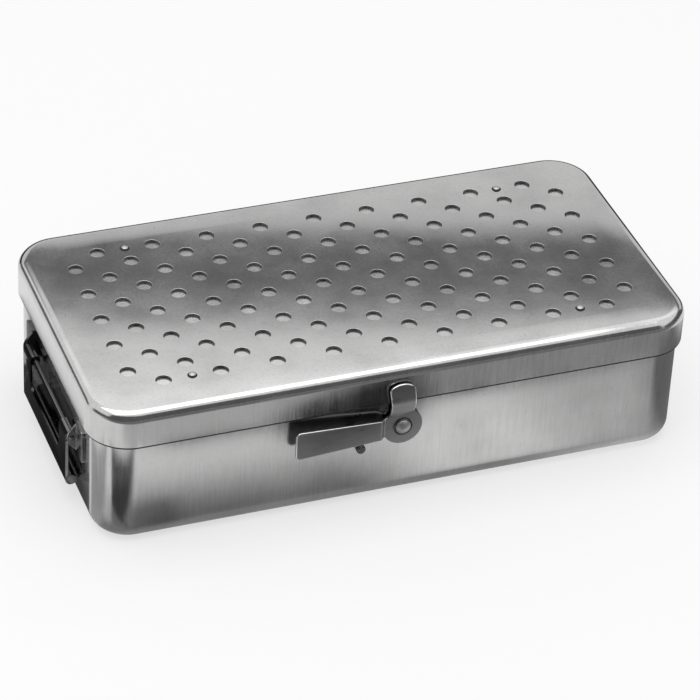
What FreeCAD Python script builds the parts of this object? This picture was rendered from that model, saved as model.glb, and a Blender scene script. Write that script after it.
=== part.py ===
import FreeCAD, Part
import math
import os
from FreeCAD import Vector

# Sterilization container for surgical instruments: a deep-drawn base pan, a perforated
# lid pan that laps over it, a shutter plate under the lid that closes its holes, a bent
# lever latch in front, two leaf hinges behind and a drop handle at each end.
# Millimetres. The origin is the centre of the base's flat bottom, +Z is up, the latch is
# at -Y and the handles are at -X and +X.

# How far a cutter reaches past what it cuts
overcut = 1.0

# Lid pan
lid_length = 200.0
lid_width = 103.0
lid_depth = 13.2
lid_plan_radius = 14.0
lid_edge_radius = 3.5
sheet = 0.8

# Base pan
overall_height = 50.4
skirt_gap = 0.8
rim_gap = 0.3
base_edge_radius = 5.5

# Steam holes, in rows along the length that are long and short by turns
hole_diameter = 5.1
hole_end_margin = 16.48
hole_side_margin = 15.05
row_count = 11
short_row = 9

# Shutter plate and the four rivets that carry it
shutter_sheet = 0.6
shutter_gap = 0.1
shutter_travel = 5.6
shutter_border = 3.0
shutter_plan_radius = 6.0
lip_width = 34.0
lip_depth = 6.5
lip_bend = 0.8
guide_shank = 1.8
guide_slot_gap = 0.1
guide_columns = 3.5
guide_head_diameter = 3.2
guide_head_height = 0.9
guide_washer_diameter = 6.0
guide_washer_sheet = 0.5
guide_tail_diameter = 3.2
guide_tail_height = 0.7

# Latch lever
latch_sheet = 1.0
latch_hub_radius = 6.6
latch_hub_drop = 9.2
latch_lap = 8.2
latch_tab_crown = 1.5
latch_tab_width = 8.6
latch_tab_lean = 1.2
latch_neck_width = 8.2
latch_neck_lean = 0.3
latch_heel_reach = 5.9
latch_heel_height = 2.0
latch_tip_gap = 0.3
latch_bow = 0.8
latch_bow_height = 3.7
latch_foot_bow = 0.5
latch_arm_reach = 36.4
latch_arm_root_width = 7.3
latch_arm_end_width = 10.4
latch_arm_root_top = 4.0
latch_arm_end_top = 6.2
latch_arm_step = 1.3
latch_arm_flare = 1.3
latch_corner = 1.7
latch_bend = 0.6
latch_tab_bend_inset = 0.6
latch_arm_bend_inset = 0.4

# Latch rivet, its washers and the stop stud
latch_shank = 3.2
latch_bore_gap = 0.05
latch_face_gap = 0.1
latch_head_diameter = 6.3
latch_head_height = 1.5
latch_tail_diameter = 5.0
latch_tail_height = 1.0
spring_washer_diameter = 9.0
spring_washer_sheet = 0.4
spring_washer_height = 0.8
inner_washer_diameter = 8.0
inner_washer_sheet = 0.7
stop_diameter = 3.0
stop_length = 3.6
stop_reach = 14.2
stop_gap = 0.3
stop_rounding = 0.4
stop_tail_diameter = 4.4
stop_tail_height = 0.7

# Hinges
hinge_end_margin = 38.0
hinge_width = 24.0
hinge_sheet = 0.8
hinge_pin_diameter = 2.0
hinge_bore_gap = 0.05
hinge_wall_gap = 0.3
hinge_lift = 1.5
hinge_knuckle = 11.6
hinge_side_gap = 0.2
hinge_lid_leaf_height = 7.6
hinge_base_leaf_height = 14.0
hinge_corner = 2.5
hinge_shoulder_corner = 1.5
hinge_bend = 0.5

# Drop handles
grip_width = 50.0
grip_drop = 19.0
grip_sheet = 0.9
grip_leg = 8.0
grip_rail = 8.5
grip_corner = 1.6
grip_window_corner = 3.0
handle_pin_diameter = 1.8
handle_pin_drop = 11.2
handle_bore_gap = 0.05
handle_wall_gap = 0.3
handle_side_gap = 0.2
handle_rivet_diameter = 2.2
handle_rivet_height = 0.5
bracket_sheet = 0.8
bracket_height = 12.0
bracket_flange = 6.6
bracket_ear_radius = 1.6
bracket_ear_corner = 1.4
bracket_corner = 1.5
bracket_bend = 0.2

# What follows from the sizes above
lid_top = overall_height
skirt_bottom = lid_top - lid_depth
hole_pitch = (lid_length - 2 * hole_end_margin) / short_row
row_pitch = (lid_width - 2 * hole_side_margin) / (row_count - 1)
base_length = lid_length - 2 * (sheet + skirt_gap)
base_width = lid_width - 2 * (sheet + skirt_gap)
base_plan_radius = lid_plan_radius - sheet - skirt_gap
lid_inside_radius = lid_edge_radius - sheet
fillet_reach = max(lid_inside_radius - skirt_gap, 0.0)
fillet_drop = lid_inside_radius - math.sqrt(lid_inside_radius ** 2 - fillet_reach ** 2)
base_rim = lid_top - sheet - fillet_drop - rim_gap
front_wall = base_width / 2
end_wall = base_length / 2
hub_z = skirt_bottom - latch_hub_drop
lever_inside = front_wall + spring_washer_height + latch_face_gap
hinge_radius = hinge_pin_diameter / 2 + hinge_bore_gap + hinge_sheet
hinge_y = lid_width / 2 + hinge_wall_gap + hinge_radius
hinge_z = skirt_bottom + hinge_lift
knuckle_radius = handle_pin_diameter / 2 + handle_bore_gap + grip_sheet
handle_x = end_wall + handle_wall_gap + knuckle_radius
handle_z = skirt_bottom - handle_pin_drop


def on_top(u, v):
    """The plane seen from above."""
    return Vector(u, v, 0)


def on_front(u, v):
    """The plane seen from the front, along the length and up."""
    return Vector(u, 0, v)


def on_side(u, v):
    """The plane seen from an end, across the width and up."""
    return Vector(0, u, v)


def outline(corners, plane):
    """A closed face with straight edges; each corner is (u, v, radius)."""
    edges = []
    trimmed = []
    count = len(corners)
    for i, (u, v, radius) in enumerate(corners):
        here = Vector(u, v, 0)
        back = (Vector(*corners[i - 1][:2], 0) - here).normalize()
        ahead = (Vector(*corners[(i + 1) % count][:2], 0) - here).normalize()
        half = back.getAngle(ahead) / 2
        if radius > 0 and half < math.pi / 2 - 1e-4:
            run = radius / math.tan(half)
            toward = (back + ahead).normalize()
            middle = here + toward * (radius / math.sin(half) - radius)
            trimmed.append((here + back * run, middle, here + ahead * run))
        else:
            trimmed.append((here, None, here))
    for i, (start, middle, end) in enumerate(trimmed):
        following = trimmed[(i + 1) % count][0]
        if middle is not None:
            edges.append(Part.Arc(*(plane(p.x, p.y) for p in (start, middle, end))).toShape())
        if end.distanceToPoint(following) > 1e-6:
            line = Part.LineSegment(plane(end.x, end.y), plane(following.x, following.y))
            edges.append(line.toShape())
    return Part.Face(Part.Wire(edges))


def strip(path, thickness, bend, plane):
    """A bent sheet seen edge on: its right face follows the path, its left face lies one
    thickness away, and the inside of every bend has the radius bend."""
    points = [Vector(u, v, 0) for u, v in path]
    runs = [(b - a).normalize() for a, b in zip(points, points[1:])]
    lefts = [Vector(-run.y, run.x, 0) for run in runs]
    right_side = [(points[0].x, points[0].y, 0)]
    left_side = [(points[0] + lefts[0] * thickness, 0)]
    for i in range(1, len(points) - 1):
        turns_left = runs[i - 1].cross(runs[i]).z > 0
        shift = (lefts[i - 1] + lefts[i]) * (thickness / (1 + lefts[i - 1].dot(lefts[i])))
        right_side.append((points[i].x, points[i].y, bend + thickness * turns_left))
        left_side.append((points[i] + shift, bend + thickness * (not turns_left)))
    right_side.append((points[-1].x, points[-1].y, 0))
    left_side.append((points[-1] + lefts[-1] * thickness, 0))
    return outline(right_side + [(p.x, p.y, radius) for p, radius in reversed(left_side)], plane)


def rounded_rectangle(length, width, radius, x=0.0, y=0.0):
    """A rectangle on the top plane with four like corners."""
    corners = [(-1, -1), (1, -1), (1, 1), (-1, 1)]
    return outline([(x + i * length / 2, y + j * width / 2, radius) for i, j in corners], on_top)


def raised(face, low, high):
    """A face on the top plane made a prism from one height to another."""
    return face.translated(Vector(0, 0, low)).extrude(Vector(0, 0, high - low))


def drawn_pan(length, width, low, high, plan_radius, edge_radius, edge_up):
    """A closed block with a rounded plan and one rounded rim, at its top or its bottom."""
    block = raised(rounded_rectangle(length, width, plan_radius), low, high)
    level = high if edge_up else low
    rim = [e for e in block.Edges if all(abs(p.Point.z - level) < 1e-6 for p in e.Vertexes)]
    return block.makeFillet(edge_radius, rim)


def hole_places():
    """Centres of the steam holes, row by row from the back."""
    for row in range(row_count):
        count = short_row + row % 2
        y = ((row_count - 1) / 2 - row) * row_pitch
        for column in range(count):
            yield (column - (count - 1) / 2) * hole_pitch, y


def guide_places():
    """Centres of the four rivets, between the last two holes of the outer rows."""
    for i in (-1, 1):
        for j in (-1, 1):
            yield i * guide_columns * hole_pitch, j * (row_count - 1) / 2 * row_pitch


def upright_pins(places, diameter, low, high):
    """Like round pins that stand on the given places."""
    pins = [Part.makeCylinder(diameter / 2, high - low, Vector(x, y, low)) for x, y in places]
    return Part.makeCompound(pins)


def dome(diameter, height, base, direction):
    """The rounded head of a rivet, on the point base, towards direction."""
    ball = (diameter ** 2 / 4 + height ** 2) / (2 * height)
    sphere = Part.makeSphere(ball, base + direction * (height - ball))
    return sphere.common(Part.makeCylinder(diameter / 2, height, base, direction))


def make_lid_pan():
    outside = drawn_pan(lid_length, lid_width, skirt_bottom, lid_top, lid_plan_radius,
                        lid_edge_radius, True)
    inside = drawn_pan(lid_length - 2 * sheet, lid_width - 2 * sheet, skirt_bottom - sheet,
                       lid_top - sheet, lid_plan_radius - sheet, lid_inside_radius, True)
    top = (lid_top - 2 * sheet, lid_top + sheet)
    lid = outside.cut(inside).cut(upright_pins(hole_places(), hole_diameter, *top))
    return lid.cut(upright_pins(guide_places(), guide_shank, *top))


def make_base_pan():
    outside = drawn_pan(base_length, base_width, 0, base_rim, base_plan_radius, base_edge_radius, False)
    inside = drawn_pan(base_length - 2 * sheet, base_width - 2 * sheet, sheet, base_rim + sheet,
                       base_plan_radius - sheet, base_edge_radius - sheet, False)
    pan = outside.cut(inside)
    for x, z, diameter in ((0, hub_z, latch_shank), (-stop_reach, stop_z(), stop_diameter)):
        start = Vector(x, -front_wall - sheet, z)
        pan = pan.cut(Part.makeCylinder(diameter / 2, 3 * sheet, start, Vector(0, 1, 0)))
    return pan


def shutter_top():
    return lid_top - sheet - shutter_gap


def make_shutter_plate():
    """The plate is drawn shut: its holes lie one travel short of the lid's holes."""
    top = shutter_top()
    low = top - shutter_sheet
    reach = max(x for x, y in hole_places()) + hole_diameter / 2 + shutter_border
    length = 2 * reach + shutter_travel
    width = (row_count - 1) * row_pitch + hole_diameter + 2 * shutter_border
    plate = raised(rounded_rectangle(length, width, shutter_plan_radius, -shutter_travel / 2), low, top)
    shut = [(x - shutter_travel, y) for x, y in hole_places()]
    plate = plate.cut(upright_pins(shut, hole_diameter, low - overcut, top + overcut))
    slot_width = guide_shank + 2 * guide_slot_gap
    for x, y in guide_places():
        slot = rounded_rectangle(shutter_travel + slot_width, slot_width, slot_width / 2,
                                 x - shutter_travel / 2, y)
        plate = plate.cut(raised(slot, low - overcut, top + overcut))
    end = length / 2 - shutter_travel / 2
    fold = [(end - shutter_border, low), (end, low), (end, low - lip_depth)]
    lip = strip(fold, shutter_sheet, lip_bend, on_front)
    lip = lip.translated(Vector(0, -lip_width / 2, 0)).extrude(Vector(0, lip_width, 0))
    return plate.fuse(lip).removeSplitter()


def make_shutter_guide_rivets():
    rivets = []
    tail = guide_washer_level() - guide_washer_sheet
    for x, y in guide_places():
        shank = Part.makeCylinder(guide_shank / 2, lid_top - tail, Vector(x, y, tail))
        head = dome(guide_head_diameter, guide_head_height, Vector(x, y, lid_top), Vector(0, 0, 1))
        closed = dome(guide_tail_diameter, guide_tail_height, Vector(x, y, tail), Vector(0, 0, -1))
        rivets.append(shank.fuse(head).fuse(closed).removeSplitter())
    return Part.makeCompound(rivets)


def guide_washer_level():
    """The face of the washers that the shutter slides on."""
    return shutter_top() - shutter_sheet - shutter_gap


def make_shutter_guide_washers():
    washers = []
    high = guide_washer_level()
    low = high - guide_washer_sheet
    for x, y in guide_places():
        disc = Part.makeCylinder(guide_washer_diameter / 2, high - low, Vector(x, y, low))
        washers.append(disc.cut(Part.makeCylinder(guide_shank / 2, high - low, Vector(x, y, low))))
    return Part.makeCompound(washers)


def arm_low(reach):
    """Height of the arm's lower edge above the hub's centre, at a distance from the hub."""
    root = latch_arm_root_top - latch_arm_root_width
    end = latch_arm_end_top - latch_arm_end_width
    return root + (end - root) * (reach - latch_hub_radius) / (latch_arm_reach - latch_hub_radius)


def stop_z():
    return hub_z + arm_low(stop_reach) - stop_gap - stop_diameter / 2


def make_latch_lever():
    """One sheet: a hub disc, a tab that steps out over the lid's skirt and an arm that
    steps out to the left, so that it passes the skirt when it is lifted."""
    tip = latch_hub_drop + latch_lap
    shoulder = tip - latch_tab_crown
    half_neck = latch_neck_width / 2
    half_tab = latch_tab_width / 2
    blank = outline([(-latch_arm_reach, arm_low(latch_arm_reach), latch_corner),
                     (-latch_hub_radius, arm_low(latch_hub_radius), 0),
                     (0, -latch_hub_radius / 2, 0),
                     (latch_heel_reach, latch_heel_height, 0),
                     (half_neck - latch_neck_lean, latch_hub_radius, 2 * latch_corner),
                     (half_tab - latch_tab_lean, shoulder, latch_corner),
                     (-latch_tab_lean, tip, latch_tab_width / 2),
                     (-half_tab - latch_tab_lean, shoulder, latch_corner / 2),
                     (-half_neck, latch_arm_root_top, latch_corner),
                     (-latch_arm_reach, latch_arm_end_top, latch_corner)], on_front)
    depth = Vector(0, -4 * latch_lap, 0)
    across = 4 * latch_hub_radius
    form = blank.translated(Vector(0, 0, hub_z)).extrude(depth)
    hub = Part.makeCylinder(latch_hub_radius, -depth.y, Vector(0, 0, hub_z), Vector(0, -1, 0))
    form = form.fuse(hub).translated(Vector(0, -front_wall, 0))
    # the tab's section, across the width and up
    skirt_face = lid_width / 2
    lift = latch_hub_radius - latch_tab_bend_inset
    pressed = skirt_face + latch_tip_gap
    tab_path = [(-lever_inside, hub_z), (-lever_inside, hub_z + lift),
                (-pressed - latch_foot_bow, hub_z + latch_hub_drop - latch_bend),
                (-pressed - latch_bow, hub_z + latch_hub_drop + latch_bow_height),
                (-pressed, hub_z + tip + latch_bend)]
    tab = strip(tab_path, latch_sheet, 4 * latch_bend, on_side)
    tab = tab.translated(Vector(-latch_hub_radius, 0, 0)).extrude(Vector(2.5 * latch_hub_radius, 0, 0))
    # the arm's section, along the length and across the width
    bend_at = latch_hub_radius - latch_arm_bend_inset
    stepped = lever_inside + latch_arm_step
    arm_path = [(-latch_arm_reach - latch_bend, -stepped - latch_arm_flare),
                (-bend_at - latch_arm_step, -stepped), (-bend_at, -lever_inside), (0, -lever_inside)]
    arm = strip(arm_path[::-1], latch_sheet, latch_bend, on_top)
    arm = arm.translated(Vector(0, 0, hub_z - across / 2)).extrude(Vector(0, 0, across))
    # the three bent pieces of the sheet, each cut to its share of the blank
    far = 2 * latch_arm_reach
    arm_share = Part.makeBox(far, far, far, Vector(-far - bend_at, -far - front_wall, hub_z - far / 2))
    tab_share = Part.makeBox(far, far, far, Vector(-bend_at, -far - front_wall, hub_z + lift))
    hub_share = Part.makeBox(far, far, far, Vector(-bend_at, -far - front_wall, hub_z + lift - far))
    flat = Part.makeBox(across, latch_sheet, across,
                        Vector(-across / 2, -lever_inside - latch_sheet, hub_z - across / 2))
    lever = form.common(arm).common(arm_share)
    lever = lever.fuse(form.common(tab).common(tab_share)).fuse(form.common(flat).common(hub_share))
    bore = Part.makeCylinder(latch_shank / 2 + latch_bore_gap, 4 * latch_sheet,
                             Vector(0, -front_wall, hub_z), Vector(0, -1, 0))
    return lever.cut(bore).removeSplitter()


def make_latch_rivet():
    """A shouldered rivet through the lever, the spring washer, the wall and the inner washer."""
    outward = Vector(0, -1, 0)
    head_face = lever_inside + latch_sheet + latch_face_gap
    tail_face = front_wall - sheet - inner_washer_sheet
    length = head_face - tail_face
    shank = Part.makeCylinder(latch_shank / 2, length, Vector(0, -tail_face, hub_z), outward)
    head = dome(latch_head_diameter, latch_head_height, Vector(0, -head_face, hub_z), outward)
    tail = dome(latch_tail_diameter, latch_tail_height, Vector(0, -tail_face, hub_z), outward * -1)
    return shank.fuse(head).fuse(tail).removeSplitter()


def make_latch_spring_washer():
    """A dished washer: its rim lies on the wall and its crown presses on the lever."""
    rim = spring_washer_diameter / 2
    bore = latch_shank / 2 + latch_bore_gap
    crown = -front_wall - spring_washer_height
    section = Part.Face(Part.makePolygon([
        Vector(bore, crown, hub_z), Vector(bore, crown + spring_washer_sheet, hub_z),
        Vector(rim, -front_wall, hub_z), Vector(rim, -front_wall - spring_washer_sheet, hub_z),
        Vector(bore, crown, hub_z)]))
    return section.revolve(Vector(0, 0, hub_z), Vector(0, 1, 0), 360)


def make_latch_inner_washer():
    start = Vector(0, -front_wall + sheet, hub_z)
    disc = Part.makeCylinder(inner_washer_diameter / 2, inner_washer_sheet, start, Vector(0, 1, 0))
    return disc.cut(Part.makeCylinder(latch_shank / 2, inner_washer_sheet, start, Vector(0, 1, 0)))


def make_latch_stop_pin():
    """The stud that the arm rests on, riveted over inside the wall."""
    outward = Vector(0, -1, 0)
    inside = Vector(-stop_reach, -front_wall + sheet, stop_z())
    stud = Part.makeCylinder(stop_diameter / 2, stop_length + sheet, inside, outward)
    rim = [e for e in stud.Edges if e.BoundBox.YMax < -front_wall - stop_length + 1e-3]
    stud = stud.makeFillet(stop_rounding, rim)
    return stud.fuse(dome(stop_tail_diameter, stop_tail_height, inside, outward * -1)).removeSplitter()


def knuckle(x, width, bore):
    """One rolled eye of a hinge leaf, around the hinge's axis."""
    start = Vector(x - width / 2, hinge_y, hinge_z)
    ring = Part.makeCylinder(hinge_radius, width, start, Vector(1, 0, 0))
    return ring.cut(Part.makeCylinder(bore, width, start, Vector(1, 0, 0)))


def end_knuckle_width():
    return (hinge_width - hinge_knuckle) / 2 - hinge_side_gap


def make_hinge_lid_leaf(x):
    """A T-shaped leaf on the back of the skirt, with one eye in the middle."""
    bore = hinge_pin_diameter / 2 + hinge_bore_gap
    back = lid_width / 2
    shoulder = hinge_z + hinge_radius + hinge_wall_gap
    top = hinge_z + hinge_lid_leaf_height
    half = hinge_width / 2
    neck = hinge_knuckle / 2
    plan = outline([(x - neck, hinge_z, 0), (x + neck, hinge_z, 0), (x + neck, shoulder, 0),
                    (x + half, shoulder, hinge_shoulder_corner), (x + half, top, hinge_corner),
                    (x - half, top, hinge_corner), (x - half, shoulder, hinge_shoulder_corner),
                    (x - neck, shoulder, 0)], on_front)
    leaf = plan.translated(Vector(0, back, 0)).extrude(Vector(0, hinge_sheet, 0))
    clear = Part.makeCylinder(bore, hinge_width, Vector(x - half, hinge_y, hinge_z), Vector(1, 0, 0))
    return leaf.cut(clear).fuse(knuckle(x, hinge_knuckle, bore)).removeSplitter()


def make_hinge_base_leaf(x):
    """A stepped leaf on the back wall, with an eye at each end of the pin."""
    half = hinge_width / 2
    outer_plane = hinge_y - hinge_radius
    wall = front_wall
    step_top = skirt_bottom - hinge_wall_gap
    path = [(outer_plane, hinge_z), (outer_plane, step_top), (wall, step_top - (outer_plane - wall)),
            (wall, hinge_z - hinge_base_leaf_height)]
    leaf = strip(path, hinge_sheet, hinge_bend, on_side)
    leaf = leaf.translated(Vector(x - half, 0, 0)).extrude(Vector(hinge_width, 0, 0))
    low = hinge_z - hinge_base_leaf_height
    plan = outline([(x - half, low, hinge_corner), (x + half, low, hinge_corner),
                    (x + half, hinge_z, 0), (x - half, hinge_z, 0)], on_front)
    plan = plan.translated(Vector(0, wall - overcut, 0))
    leaf = leaf.common(plan.extrude(Vector(0, 4 * hinge_radius, 0)))
    notch = hinge_knuckle + 2 * hinge_side_gap
    leaf = leaf.cut(Part.makeBox(notch, 6 * hinge_radius, 4 * hinge_radius, Vector(
        x - notch / 2, hinge_y - 3 * hinge_radius, hinge_z - hinge_radius - 2 * hinge_wall_gap)))
    bore = hinge_pin_diameter / 2
    clear = Part.makeCylinder(bore, hinge_width, Vector(x - half, hinge_y, hinge_z), Vector(1, 0, 0))
    leaf = leaf.cut(clear)
    for side in (-1, 1):
        leaf = leaf.fuse(knuckle(x + side * (half - end_knuckle_width() / 2), end_knuckle_width(), bore))
    return leaf.removeSplitter()


def make_hinge_pin(x):
    start = Vector(x - hinge_width / 2, hinge_y, hinge_z)
    return Part.makeCylinder(hinge_pin_diameter / 2, hinge_width, start, Vector(1, 0, 0))


def mirrored(shape, side):
    """The piece as drawn at the left end, or its mirror image at the right end."""
    return shape if side < 0 else shape.mirror(Vector(0, 0, 0), Vector(1, 0, 0))


def make_handle_grip():
    """One sheet: two legs rolled round the pin, joined below by a rail whose edge is rolled
    to the same size, so that it rests against the end wall."""
    outer = handle_x + knuckle_radius
    low = handle_z - grip_drop
    half = grip_width / 2
    along = Vector(0, grip_width, 0)
    start = Vector(-handle_x, -half, handle_z)
    web = outline([(-outer, low, 0), (-outer + grip_sheet, low, 0), (-outer + grip_sheet, handle_z, 0),
                   (-outer, handle_z, 0)], on_front).translated(Vector(0, -half, 0)).extrude(along)
    roll = Part.makeCylinder(knuckle_radius, grip_width, start, along)
    edge = Vector(-handle_x, -half, low + knuckle_radius)
    bead = Part.makeCylinder(knuckle_radius, grip_width, edge, along)
    lower = Part.makeBox(grip_sheet, grip_width, knuckle_radius, Vector(-outer, -half, low))
    solid = web.cut(lower).fuse(roll).fuse(bead)
    rail_top = low + grip_rail
    above = handle_z + 2 * knuckle_radius
    inner = half - grip_leg
    plan = outline([(-half, low, grip_corner), (half, low, grip_corner), (half, above, 0),
                    (inner, above, 0), (inner, rail_top, grip_window_corner),
                    (-inner, rail_top, grip_window_corner), (-inner, above, 0),
                    (-half, above, 0)], on_side)
    plan = plan.translated(Vector(-outer - overcut, 0, 0)).extrude(Vector(4 * knuckle_radius, 0, 0))
    bore = handle_pin_diameter / 2 + handle_bore_gap
    return solid.common(plan).cut(Part.makeCylinder(bore, grip_width, start, along)).removeSplitter()


def make_handle_pin():
    """A wire through both legs, riveted over outside the bracket ears."""
    half = grip_width / 2 + handle_side_gap + bracket_sheet
    along = Vector(0, 1, 0)
    pin = Part.makeCylinder(handle_pin_diameter / 2, 2 * half, Vector(-handle_x, -half, handle_z), along)
    for side in (-1, 1):
        end = Vector(-handle_x, side * half, handle_z)
        pin = pin.fuse(dome(handle_rivet_diameter, handle_rivet_height, end, along * side))
    return pin.removeSplitter()


def make_handle_bracket(side):
    """An angle of sheet: a flange on the end wall and an ear that holds the pin. It is drawn
    for the front and mirrored for the rear."""
    ear = grip_width / 2 + handle_side_gap
    tip = handle_x + bracket_ear_radius
    path = [(-tip, ear), (-end_wall, ear), (-end_wall, ear + bracket_sheet + bracket_flange)]
    angle = strip(path, bracket_sheet, bracket_bend, on_top)
    low = handle_z - bracket_height / 2
    high = low + bracket_height
    angle = angle.translated(Vector(0, 0, low)).extrude(Vector(0, 0, bracket_height))
    shoulder = end_wall + bracket_sheet + bracket_bend
    profile = outline([(-tip, handle_z - bracket_ear_radius, bracket_ear_corner),
                       (-shoulder, low, 0), (-end_wall + overcut, low, 0),
                       (-end_wall + overcut, high, 0), (-shoulder, high, 0),
                       (-tip, handle_z + bracket_ear_radius, bracket_ear_corner)], on_front)
    angle = angle.common(profile.extrude(Vector(0, 4 * grip_width, 0)))
    flange_end = ear + bracket_sheet + bracket_flange
    face = outline([(ear - overcut, low, 0), (flange_end, low, bracket_corner),
                    (flange_end, high, bracket_corner), (ear - overcut, high, 0)], on_side)
    angle = angle.common(face.translated(Vector(-2 * tip, 0, 0)).extrude(Vector(2 * tip, 0, 0)))
    along = Vector(0, 1, 0)
    start = Vector(-handle_x, 0, handle_z)
    angle = angle.cut(Part.makeCylinder(handle_pin_diameter / 2, 2 * grip_width, start, along))
    return angle if side > 0 else angle.mirror(Vector(0, 0, 0), Vector(0, 1, 0))


def all_parts():
    parts = {
        "base_pan": make_base_pan(),
        "lid_pan": make_lid_pan(),
        "shutter_plate": make_shutter_plate(),
        "shutter_guide_rivets": make_shutter_guide_rivets(),
        "shutter_guide_washers": make_shutter_guide_washers(),
        "latch_lever": make_latch_lever(),
        "latch_rivet": make_latch_rivet(),
        "latch_spring_washer": make_latch_spring_washer(),
        "latch_inner_washer": make_latch_inner_washer(),
        "latch_stop_pin": make_latch_stop_pin(),
    }
    for name, side in (("left", -1), ("right", 1)):
        x = side * (lid_length / 2 - hinge_end_margin)
        parts["hinge_" + name + "_base_leaf"] = make_hinge_base_leaf(x)
        parts["hinge_" + name + "_lid_leaf"] = make_hinge_lid_leaf(x)
        parts["hinge_" + name + "_pin"] = make_hinge_pin(x)
        parts["handle_" + name + "_grip"] = mirrored(make_handle_grip(), side)
        parts["handle_" + name + "_pin"] = mirrored(make_handle_pin(), side)
        parts["handle_" + name + "_front_bracket"] = mirrored(make_handle_bracket(-1), side)
        parts["handle_" + name + "_rear_bracket"] = mirrored(make_handle_bracket(1), side)
    return parts


os.makedirs("parts", exist_ok=True)
for node, shape in all_parts().items():
    shape.exportStep(os.path.join("parts", node + ".step"))
    print(node, len(shape.Solids), "solid(s),", round(shape.Volume, 2), "mm3, valid", shape.isValid())
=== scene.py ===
import math
import bmesh
import bpy
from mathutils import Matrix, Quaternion, Vector


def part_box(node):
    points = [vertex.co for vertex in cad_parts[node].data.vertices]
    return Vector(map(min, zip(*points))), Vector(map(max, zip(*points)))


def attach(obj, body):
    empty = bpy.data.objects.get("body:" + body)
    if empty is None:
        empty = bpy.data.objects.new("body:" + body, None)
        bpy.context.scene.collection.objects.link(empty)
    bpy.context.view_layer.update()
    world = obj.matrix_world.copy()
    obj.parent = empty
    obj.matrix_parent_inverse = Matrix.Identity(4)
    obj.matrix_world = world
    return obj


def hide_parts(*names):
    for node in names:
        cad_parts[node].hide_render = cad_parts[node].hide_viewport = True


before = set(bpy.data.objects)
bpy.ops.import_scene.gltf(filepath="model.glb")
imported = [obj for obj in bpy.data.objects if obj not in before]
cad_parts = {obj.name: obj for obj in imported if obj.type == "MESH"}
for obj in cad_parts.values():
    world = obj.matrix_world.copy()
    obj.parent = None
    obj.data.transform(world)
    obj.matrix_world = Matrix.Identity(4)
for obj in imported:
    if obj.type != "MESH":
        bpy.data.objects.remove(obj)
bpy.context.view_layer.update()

# Base pan. A sheet of stainless steel, 0.8 mm thick, drawn over a punch with rounded upright
# corners and a rounded lower edge. Its walls are ground upright and its flats are polished, and
# a dark band is painted round its walls just under the lid's skirt, as painted shade. It carries
# the latch, hinges and handles.
MM = 0.001
PAN_SHEET = 0.8 * MM
BASE_PLAN_RADIUS = 12.4 * MM
BASE_EDGE_RADIUS = 5.5 * MM
PLAN_SEGMENTS = 14
EDGE_SEGMENTS = 10
SKIRT_EASE = 0.38 * MM
DARK_RIM = 0.65 * MM
SHADE_BELOW = 1.1 * MM
SHADE_ABOVE = 0.8 * MM
PAN_STEEL = (0.63, 0.63, 0.626)
# Painted shade: a dark steel for the pans' open edge and round the guide rivets' crowns, and one for the
# base's wall under the lid's skirt.
RIM_SHADE_STEEL = (0.07, 0.07, 0.07)
SKIRT_SHADOW_STEEL = (0.2, 0.2, 0.2)
# How near counts as at a place, and what share of a direction counts as along an axis, across
# it and dead flat.
NEAR = 0.1 * MM
ALONG = 0.9
ACROSS = 0.1
FLAT = 0.9999
SHARP_ANGLE = math.radians(32)
# How fine the steel's grain, waves, patches and specks are.
GRAIN_SCALE = 1500
WAVE_SCALE = 26
PATCH_SCALE = 60
SPECK_SCALE = 700
# What they do to it: the least and the greatest share, and the stretch of the pattern between.
DULLED = (0.85, 1.35, 0.35, 0.7)
GROUND = (0.9, 1.12, 0.3, 0.7)
STAINED = (0.84, 1, 0.3, 0.62)
STREAKED = (0.93, 1, 0.35, 0.6)
PITTED = (0.9, 1, 0.24, 0.4)
FACING_UP = (0.4, 0.95)


def only(piece):
    """Makes the piece the only selected and the active object."""
    bpy.ops.object.select_all(action="DESELECT")
    piece.select_set(True)
    bpy.context.view_layer.objects.active = piece


def pick(kind, test):
    """In edit mode, selects just the faces, edges or corners whose middle and direction pass
    the test."""
    bpy.ops.mesh.select_mode(type=kind)
    bpy.ops.mesh.select_all(action="DESELECT")
    mesh = bmesh.from_edit_mesh(bpy.context.edit_object.data)
    if kind == "FACE":
        found = [face for face in mesh.faces if test(face.calc_center_median(), face.normal)]
    elif kind == "VERT":
        found = [vertex for vertex in mesh.verts if test(vertex.co, vertex.normal)]
    else:
        found = [edge for edge in mesh.edges
                 if test((edge.verts[0].co + edge.verts[1].co) / 2,
                         (edge.verts[1].co - edge.verts[0].co).normalized())]
    for part in found:
        part.select_set(True)
    mesh.select_flush_mode()
    bmesh.update_edit_mesh(bpy.context.edit_object.data)


def block(name, low, high):
    """A box between two corners, with its place in its mesh, left in edit mode."""
    low, high = Vector(low), Vector(high)
    bpy.ops.object.select_all(action="DESELECT")
    bpy.ops.mesh.primitive_cube_add(size=1, location=(low + high) / 2)
    piece = bpy.context.active_object
    piece.name = name
    piece.scale = high - low
    bpy.ops.object.transform_apply(location=True, scale=True)
    bpy.ops.object.mode_set(mode="EDIT")
    return piece


def rounded(test, radius, segments=5):
    """Rounds the picked edges."""
    pick("EDGE", test)
    bpy.ops.mesh.bevel(offset=radius, segments=segments)


def scored(place, way, **trim):
    """In edit mode, draws a line round the whole mesh along a plane, or trims the mesh there."""
    bpy.ops.mesh.select_all(action="SELECT")
    bpy.ops.mesh.bisect(plane_co=place, plane_no=way, **trim)


def applied(piece, kind, **settings):
    """Puts a modifier with these settings on the piece and applies it."""
    only(piece)
    modifier = piece.modifiers.new(kind.lower(), kind)
    for setting, value in settings.items():
        setattr(modifier, setting, value)
    bpy.ops.object.modifier_apply(modifier=modifier.name)


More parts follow.
